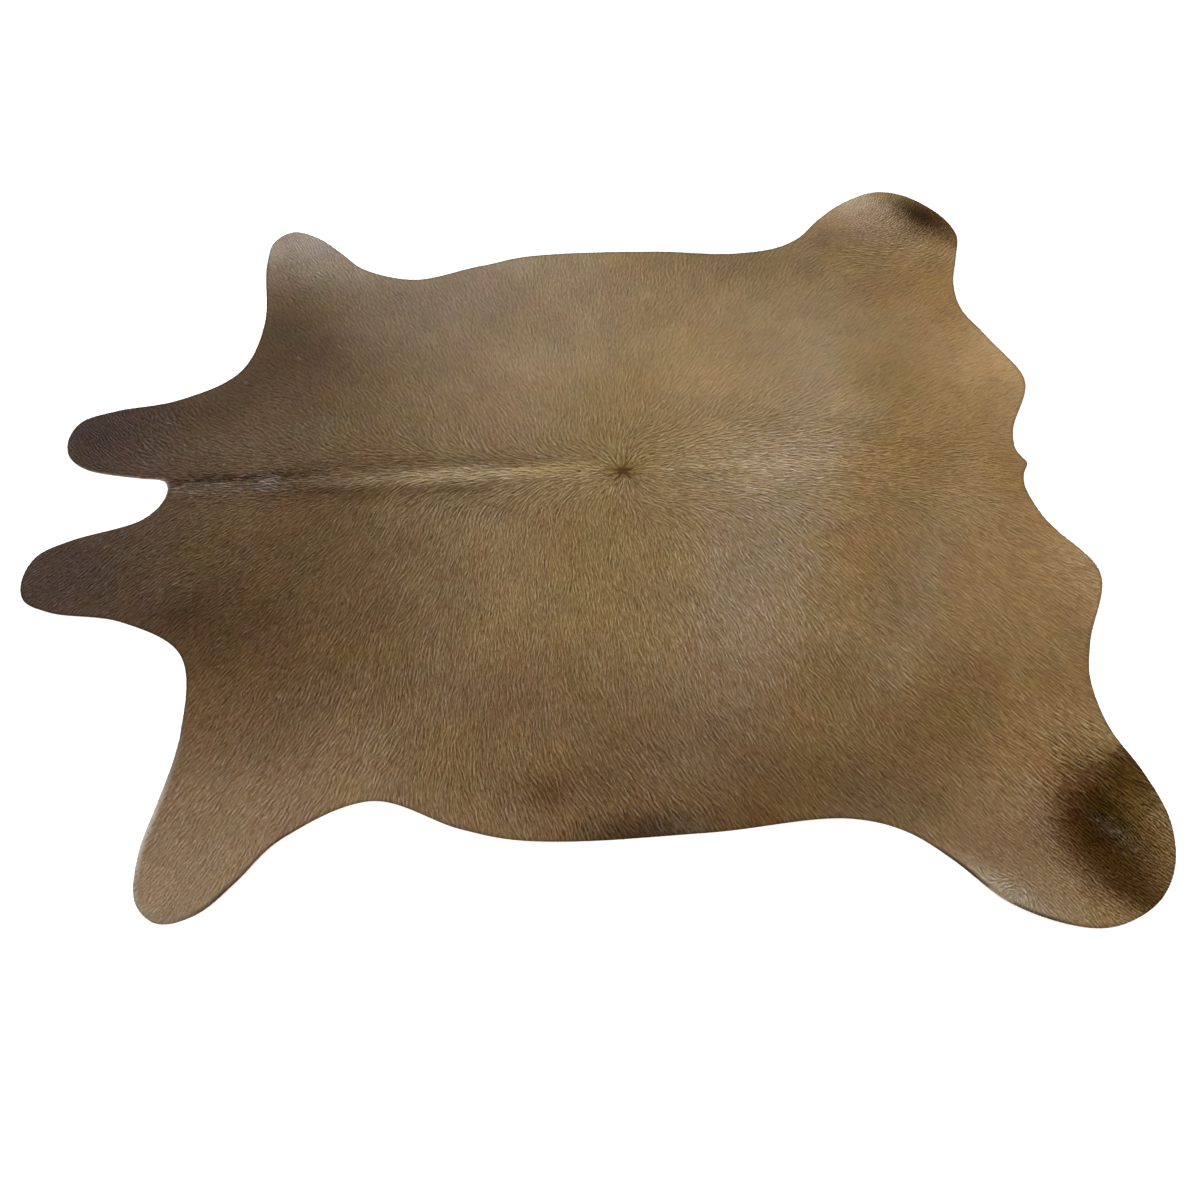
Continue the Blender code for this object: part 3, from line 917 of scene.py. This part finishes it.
def suede_material(name, light, dark, roughness):
    """Split leather: a fine nap over broad stains, both half of its colour."""
    look = Look(name, Roughness=roughness, Specular_IOR_Level=0.15)
    place = look.add("TexCoord")
    nap = look.noise(place, "Object", size=900.0, detail=3.0)
    stains = look.noise(place, "Object", size=6.0, detail=5.0)
    both = look.add("Mix", Factor=0.5)
    look.join(nap, "Fac", both, "A")
    look.join(stains, "Fac", both, "B")
    ramp = look.add("ValToRGB")
    for element, position, colour in zip(ramp.color_ramp.elements, (0.36, 0.62), (dark, light)):
        element.position = position
        element.color = (*colour, 1.0)
    look.join(both, "Result", ramp, "Fac")
    look.join(ramp, "Color", look.shader, "Base Color")
    look.raised(nap, strength=0.6, height=0.0004)
    return look.material


# The leather

def skin_points(rim, relief):
    """The rim, a ring just inside it, and a lattice where these leave room."""
    along = np.roll(rim, -1, axis=0) - np.roll(rim, 1, axis=0)
    inwards = np.stack([along[:, 1], -along[:, 0]], axis=-1)
    inwards = inwards / np.linalg.norm(inwards, axis=1)[:, None]
    ring = rim[::2, :2] + INNER_RING * inwards[::2]
    ring = ring[relief.read("depth", ring[:, 0], ring[:, 1]) > RING_ROOM * INNER_RING]
    xs, ys = hex_lattice(SKIN_STEP)
    room = relief.read("depth", xs, ys) > INNER_RING + SKIN_ROOM * SKIN_STEP
    return np.concatenate([rim[:, :2], ring, np.stack([xs[room], ys[room]], axis=-1)])


def build_skin(rim, relief):
    """One closed sheet: the underside on the floor, the hair side above it, and the cut edge."""
    points = [Vector(point) for point in skin_points(rim, relief)]
    edges = [(index, (index + 1) % len(rim)) for index in range(len(rim))]
    flat, _, faces, _, _, _ = delaunay_2d_cdt(points, edges, [], 1, WELD_DISTANCE)
    x, y = np.array([(point.x, point.y) for point in flat]).T
    low = np.maximum(relief.read("under", x, y), 0.0)
    number = len(flat)
    floor_faces = [tuple(reversed(face)) for face in faces]
    top_faces = [tuple(index + number for index in face) for face in faces]
    sides = [(start, end, end + number, start + number) for start, end in sorted(open_edges(faces))]
    places = np.concatenate([np.column_stack([x, y, low]), np.column_stack([x, y, low + LEATHER])])
    mesh = bpy.data.meshes.new("hide_skin")
    mesh.from_pydata(places.tolist(), [], floor_faces + top_faces + sides)
    mesh.materials.append(suede_material("suede", (0.56, 0.45, 0.33), (0.40, 0.31, 0.22), 0.95))
    mesh.materials.append(root_material())
    mesh.materials.append(suede_material("cut_edge", (0.40, 0.32, 0.24), (0.24, 0.18, 0.13), 0.8))
    looks = [0] * len(floor_faces) + [1] * len(top_faces) + [2] * len(sides)
    mesh.polygons.foreach_set("material_index", looks)
    mesh.shade_smooth()
    mesh.set_sharp_from_angle(angle=math.radians(SHARP_ANGLE))
    bare = bell(np.hypot(x - WHORL_X, y - WHORL_Y), 0.0, PARTED_SKIN_REACH)
    tones = coat_colour(x, y) * (1.0 - bare[:, None] * PARTED_SKIN)
    add_tones(mesh, np.tile(tones, (2, 1)))
    return add_piece("hide_skin", mesh)


def add_tones(mesh, tones):
    """Gives each vertex its tone, which the materials read."""
    tone = mesh.color_attributes.new("tone", "FLOAT_COLOR", "POINT")
    colours = np.column_stack([tones, np.ones(len(tones))])
    tone.data.foreach_set("color", colours.astype(np.float32).ravel())


def add_piece(name, mesh):
    piece = bpy.data.objects.new(name, mesh)
    bpy.context.scene.collection.objects.link(piece)
    return piece


# The hair

def coat_colour(x, y):
    """The coat's colour in light, so that it shows as painted under this scene's light."""
    tone = display_to_linear(painted(x, y))
    return np.maximum(tone - GLOSS_ON_COAT, LEAST_TONE * tone) / LIGHT_ON_COAT


# One layer of locks: its spacing, the size of a lock, how high it lies as a share of the coat, and
# how light it is, the undercoat a little darker as painted shade under the topcoat
LAYERS = table("name step length width low high shade contrast legs_only", [
    ("undercoat", 0.0078, 0.029, 0.0082, 0.20, 0.60, 0.95, 0.3, False),
    ("topcoat", 0.0050, 0.028, 0.0022, 0.45, 1.10, 1.02, 1.0, False),
    ("leg coat", 0.0041, 0.028, 0.0024, 0.45, 1.10, 1.02, 1.0, True),
])


def layer_roots(layer, relief, random):
    """Where the locks stand, on a loose lattice, and a number that goes round over neighbours."""
    xs, ys = hex_lattice(layer.step)
    number = np.round(2.0 * xs / layer.step) + 3.0 * np.round(ys / row_step(layer.step))
    xs = xs + random.uniform(-LOOSE, LOOSE, len(xs)) * layer.step
    ys = ys + random.uniform(-LOOSE, LOOSE, len(ys)) * layer.step
    kept = relief.read("depth", xs, ys) > LEAST_DEPTH
    if layer.legs_only:
        kept = kept & (legs(xs, ys) > random.uniform(*LEG_SPREAD, len(xs)))
    return xs[kept], ys[kept], number[kept]


def lock_sizes(layer, x, y, random):
    """Length and width: long on the back and sides, finer towards the neck, short on the legs."""
    leg = legs(x, y)
    neck = rising(x, *NECK_STEP) * (1.0 - leg)
    ridge = bell(y, *RIDGE_BELL) * rising(x, *RIDGE_FRONT_STEP) * rising(x, *RIDGE_REAR_STEP)
    near_whorl = fading(np.hypot(x - WHORL_X, y - WHORL_Y), *WHORL_LOCKS_STEP)
    length = layer.length * (1.0 - SHORTER_ON_LEGS * leg - SHORTER_ON_NECK * neck)
    length = length * (1.0 + LONGER_ON_RIDGE * ridge) * (1.0 - SHORTER_AT_WHORL * near_whorl)
    width = layer.width * (1.0 - FINER_ON_LEGS * leg - FINER_ON_NECK * neck)
    return length * random.uniform(*LENGTH_SPREAD, len(x)), width * random.uniform(*WIDTH_SPREAD, len(x))


def lock_path(x, y, length, stray, curl):
    """Places along each lock, its root, two bends and its tip, following the hair's direction."""
    xs, ys = [x], [y]
    for part in range(3):
        step_x, step_y = turned(*hair_direction(xs[-1], ys[-1]), stray + curl * part)
        xs.append(xs[-1] + length / 3.0 * step_x)
        ys.append(ys[-1] + length / 3.0 * step_y)
    return np.stack(xs, axis=-1), np.stack(ys, axis=-1)


def lock_kinds(number, random):
    """Which locks are light, 1, dark, -1, or plain, 0, and how high each lies: light ones on top."""
    draw = (number * EVEN_SPREAD + random.normal(0.0, EVEN_STRAY, len(number))) % 1.0
    kind = np.where(draw < LIGHT_LOCKS, 1, np.where(draw > 1.0 - DARK_LOCKS, -1, 0))
    low, room = KIND_HEIGHTS[kind].T
    return kind, low + room * random.uniform(0.0, 1.0, len(number))


def lock_heights(layer, relief, crest, xs, ys, height, random):
    """Heights along each lock: the root in the leather, and the rest in the coat."""
    level = blend(layer.low, layer.high, height) * (1.0 + TUFT_RISE * layer.contrast * crest)
    zs = relief.leather(xs, ys)
    zs[:, 0] -= ROOT_SINK
    for place, rise in enumerate(BEND_RISES, 1):
        room = relief.coat(xs[:, place], ys[:, place])
        zs[:, place] += room * level * rise * random.uniform(*RISE_SPREAD, len(level))
    return zs


def lock_corners(path, width, roll):
    """Each lock's corners from its path: root, left and right at each bend, and tip."""
    corners = np.empty((len(path), CORNERS, 3))
    corners[:, 0] = path[:, 0]
    corners[:, 5] = path[:, 3]
    for bend, fullness in enumerate(BEND_WIDTHS, 1):
        along = path[:, bend + 1] - path[:, bend - 1]
        step_x, step_y, _ = unit(along[:, 0], along[:, 1])
        aside = np.stack([-step_y * np.cos(roll), step_x * np.cos(roll), np.sin(roll)], axis=-1)
        half = 0.5 * fullness * width[:, None] * aside
        corners[:, 2 * bend - 1] = path[:, bend] + half
        corners[:, 2 * bend] = path[:, bend] - half
    return corners


def trimmed(corners, relief):
    """Draws the corners that lie past the rim back towards their lock's root, as if cut there."""
    depth = relief.read("depth", corners[:, :, 0], corners[:, :, 1])
    root_depth = depth[:, :1]
    share = (root_depth + OVERHANG) / np.maximum(root_depth - depth, TINY)
    share = np.where(depth < -OVERHANG, np.clip(share, 0.0, 1.0), 1.0)[:, :, None]
    corners = corners[:, :1] + (corners - corners[:, :1]) * share
    corners[:, :, 2] = np.maximum(corners[:, :, 2], LOWEST_HAIR)
    return corners


def build_layer(layer, relief, tufts, seed):
    """A layer's roots along x, its locks as count x 6 corners, and the tones of these."""
    random = np.random.default_rng(seed)
    x, y, number = layer_roots(layer, relief, random)
    count = len(x)
    stray = random.normal(0.0, math.radians(LOCK_STRAY), count)
    curl = random.normal(0.0, math.radians(LOCK_CURL), count)
    length, width = lock_sizes(layer, x, y, random)
    xs, ys = lock_path(x, y, length, stray, curl)
    kind, height = lock_kinds(number, random)
    crest = tufts.read(xs[:, 2], ys[:, 2])
    zs = lock_heights(layer, relief, crest, xs, ys, height, random)
    roll = random.normal(0.0, math.radians(LOCK_ROLL), count)
    corners = trimmed(lock_corners(np.stack([xs, ys, zs], axis=-1), width, roll), relief)
    crests = tufts.read(corners[:, :, 0], corners[:, :, 1])
    tones = lock_tones(layer, xs[:, 2], ys[:, 2], kind, height, crests, random)
    return x, corners, edge_tones(parted_tones(tones, corners), corners, relief)


# How much more or less than CONTRAST the strands stand out in some places
STRENGTHS = spots([
    ("neck", -68, -22, 26, 28, 1.25),
    ("ribs", -42, -48, 26, 22, 0.38),
    ("hip", 42, -28, 26, 24, 0.4),
    ("seat", 100, -25, 22, 25, -0.3),
    ("foreleg", -66, -86, 20, 14, -0.45),
    ("hind leg", 80, -84, 18, 12, -0.55),
    ("hind leg, dark", 99, -81, 11, 13, 8),
    ("by the ridge", -22, -4.5, 15, 5, 0.9),
    ("hind leg, roll", 75, -92, 5, 4, 1.2),
    ("rump", 62, 42, 36, 26, -0.3),
    ("ridge", -12, 3.4, 26, 1.8, -0.8),
    ("whorl", 14.5, 3.4, 6, 6, 1.6),
    ("hind leg", 86, 84, 18, 14, 0.75),
    ("flap", -100, 20, 14, 12, 1.7),
    ("flap", -100, -17, 14, 12, 1.1),
    ("foreleg", -62, 80, 22, 18, 0.75),
    ("hind leg, dark", 100, 87, 12, 10, 4.5),
    ("seat", 102, 8, 20, 28, -0.92),
    ("shoulder", -50, 35, 20, 16, 0.34),
    ("flank", 38, 70, 35, 13, 0.42),
    ("rump, by the seat", 85, 28, 16, 16, -0.12),
    ("rump", 82, -28, 16, 14, -0.38),
    ("ham", 95, -50, 14, 13, -0.3),
    ("neck, by the back", -66, -6, 16, 7, -0.5),
    ("belly", 2, -70, 22, 9, 0.8),
    ("belly edge", 14, -79, 18, 5, 1.3),
])


def contrast(x, y):
    """How strongly the strands stand out: more on the near side than on the far side."""
    far = FAR_CHANGE * rising(y, *CONTRAST_FAR_STEP)
    return CONTRAST + far + amount(x, y, STRENGTHS)


def limited(change):
    """How light or dark a strand is, its own tone and the painted light and shade of the tufts together: the
    dark goes further than the light.
    """
    return np.where(change > 0.0, BRIGHTEST * np.tanh(change / BRIGHTEST), DARKER * change)


# Places where some locks are near white, and the share of them
PALE_SPOTS = spots([
    ("withers", -65.2, 4.3, 2, 1.4, 0.2),
    ("foreleg, tip", -73, 84.5, 3.5, 4, 0.05),
    ("hind leg, dark", 98.5, -82.5, 6.06, 2.22, 0.04, -45),
])


def pale_share(x, y):
    """How many of the locks are near white: a few at the neck, most along its back, and the spots."""
    band = bell(y, *PALE_BELL) * rising(x, *PALE_FRONT_STEP) * rising(x, *PALE_REAR_STEP)
    return PALE_ON_BACK * band + PALE_ON_NECK * rising(x, *NECK_STEP) + amount(x, y, PALE_SPOTS)


def lock_tones(layer, x, y, kind, height, crests, random):
    """The tone of each lock's corners: the painted one nearby, with painted light on the crests of the
    tufts, painted shade in their grooves, and the painted light and shade of the lock itself.
    """
    count = len(x)
    seek_x = x + random.normal(0.0, COLOUR_BLUR, count)
    seek_y = y + random.normal(0.0, COLOUR_BLUR, count)
    step = contrast(x, y) * layer.contrast
    own = step * (random.normal(0.0, PLAIN_STEP, count) + KIND_STEPS[kind])
    # Painted light on the tufts' crests and painted shade in their grooves
    change = limited(own[:, None] + TUFT_PAINTED_LIGHT_AND_SHADE * step[:, None] * crests)
    # Painted shade: the undercoat and the lower locks come out darker
    tone = coat_colour(seek_x, seek_y) * (layer.shade * (PAINTED_SHADE_LOWEST + PAINTED_LIGHT_WITH_HEIGHT * height))[:, None]
    tone = tone[:, None, :] * np.exp(change[:, :, None] * STROKE_COLOUR)
    pale = random.uniform(0.0, 1.0, count) < pale_share(x, y)
    tone[pale] = blend(tone[pale], display_to_linear(PALE_TONE) / LIGHT_ON_COAT, PALE_MIX)
    # Painted light and shade: the root darker, the tip lighter, and one side of the lock lighter than the
    # other
    side = np.where(random.uniform(0.0, 1.0, count) < 0.5, -1.0, 1.0)
    shades = PAINTED_CORNER_SHADES + side[:, None] * PAINTED_SIDE_LIGHT
    return tone * shades[:, :, None]


def parted_tones(tones, corners):
    """The corners' tones, darker where bare roots show as the hair parts at the whorl."""
    away = np.hypot((corners[:, :, 0] - WHORL_X) / PARTED_LONG, corners[:, :, 1] - WHORL_Y)
    dark = sum(shade * bell(away, 0.0, reach) for shade, reach in PARTED_SHADES)
    return tones * np.exp(-dark[:, :, None] * STROKE_COLOUR)


def edge_tones(tones, corners, relief):
    """The corners' tones, a little darker all along the rim, with the painted shade, the painted sheen and
    the pale lines of the stretches of the hide's edge.
    """
    x, y = corners[:, :, 0], corners[:, :, 1]
    depth = relief.read("depth", x, y)
    tones = tones * (1.0 - RIM_SHADE * fading(depth, 0.0, RIM_SHADE_WIDTH))[:, :, None]
    for row in EDGES:
        near = bell(np.hypot(x / CM - row.x, y / CM - row.y), 0.0, row.reach)
        share = row.strength * near * fading(depth / CM, 0.0, row.width)
        tones = blend(tones, display_to_linear(shown(row.colour)) / LIGHT_ON_COAT, share[:, :, None])
    return tones


COAT_PARTS = ("coat_neck", "coat_shoulder", "coat_ribs", "coat_loin", "coat_rump")


def build_coats(relief, material):
    """All layers, shared out along the hide so that each piece has about as many faces."""
    tufts = Tufts(TUFT_SEED)
    layers = [build_layer(layer, relief, tufts, seed) for seed, layer in enumerate(LAYERS, LAYER_SEED)]
    x, corners, tones = (np.concatenate(parts) for parts in zip(*layers))
    places = np.sort(x)
    cuts = [places[len(places) * part // len(COAT_PARTS)] for part in range(1, len(COAT_PARTS))]
    part_of = np.searchsorted(cuts, x, side="right")
    return [
        coat_mesh(name, corners[part_of == part], tones[part_of == part], material)
        for part, name in enumerate(COAT_PARTS)
    ]


# A lock's four triangles between its six corners, and these corners' places in its cell of the map
LOCK_FACES = np.array([(0, 2, 1), (2, 4, 3), (2, 3, 1), (4, 5, 3)])
CELL_PLACES = np.array([(0.5, 0.02), (0.05, 0.33), (0.95, 0.33), (0.05, 0.67), (0.95, 0.67), (0.5, 0.98)])


def coat_mesh(name, corners, tones, material):
    """One piece of the coat, each lock with its own cell of the strand map."""
    count = len(corners)
    faces = (LOCK_FACES[None] + CORNERS * np.arange(count)[:, None, None]).reshape(-1, 3)
    mesh = bpy.data.meshes.new(name)
    mesh.vertices.add(count * CORNERS)
    mesh.vertices.foreach_set("co", corners.astype(np.float32).ravel())
    mesh.loops.add(faces.size)
    mesh.loops.foreach_set("vertex_index", faces.astype(np.int32).ravel())
    mesh.polygons.add(len(faces))
    mesh.polygons.foreach_set("loop_start", np.arange(0, faces.size, 3, dtype=np.int32))
    add_tones(mesh, tones.reshape(-1, 3))
    cell = np.stack([np.arange(count) % STRAND_CELLS, np.arange(count) // STRAND_CELLS], axis=-1)
    uvs = ((cell[:, None, :] + CELL_PLACES) / STRAND_CELLS).reshape(-1, 2)
    strands = mesh.uv_layers.new(name="strands")
    strands.data.foreach_set("uv", uvs[faces.ravel()].astype(np.float32).ravel())
    mesh.update(calc_edges=True)
    mesh.shade_smooth()
    mesh.materials.append(material)
    return add_piece(name, mesh)


# Floor, light and camera

def build_floor():
    mesh = bpy.data.meshes.new("floor")
    signs = ((-1, -1), (1, -1), (1, 1), (-1, 1))
    mesh.from_pydata([(x * FLOOR_HALF, y * FLOOR_HALF, -FLOOR_DROP) for x, y in signs], [], [(0, 1, 2, 3)])
    look = Look("floor", Roughness=FLOOR_ROUGHNESS, Specular_IOR_Level=0.0, Base_Color=FLOOR_COLOUR)
    set_inputs(look.shader, {"Emission Color": WHITE, "Emission Strength": FLOOR_GLOW})
    mesh.materials.append(look.material)
    floor = add_piece("floor", mesh)


def build_light():
    world = bpy.data.worlds.new("studio")
    world.use_nodes = True
    set_inputs(world.node_tree.nodes["Background"], {"Color": WHITE, "Strength": SKY_STRENGTH})
    bpy.context.scene.world = world
    lamp = bpy.data.lights.new("softbox", "AREA")
    lamp.size = LAMP_SIZE
    lamp.energy = LAMP_WATTS
    holder = add_piece("softbox", lamp)
    holder.location = LAMP_PLACE
    holder.rotation_euler = (-Vector(LAMP_PLACE)).to_track_quat("-Z", "Y").to_euler()


def build_camera():
    camera = bpy.data.cameras.new("camera")
    camera.lens = CAMERA_LENS
    camera.sensor_width = CAMERA_SENSOR
    holder = add_piece("camera", camera)
    heading = Matrix.Rotation(math.radians(CAMERA_HEADING), 4, "Z")
    tilt = Matrix.Rotation(math.radians(90.0 - CAMERA_DOWN), 4, "X")
    roll = Matrix.Rotation(math.radians(CAMERA_ROLL), 4, "Z")
    holder.matrix_world = Matrix.Translation(CAMERA_PLACE) @ heading @ tilt @ roll
    bpy.context.scene.camera = holder
    bpy.context.scene.view_settings.view_transform = "Standard"


def main():
    build_camera()
    build_floor()
    build_light()
    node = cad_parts["hide"]
    rim = smooth_rim(rim_loop(node))
    relief = Relief(node, rim)
    skin = build_skin(rim, relief)
    coats = build_coats(relief, hair_material())
    for piece in [skin, *coats]:
        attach(piece, "root")
    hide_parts("hide")


main()
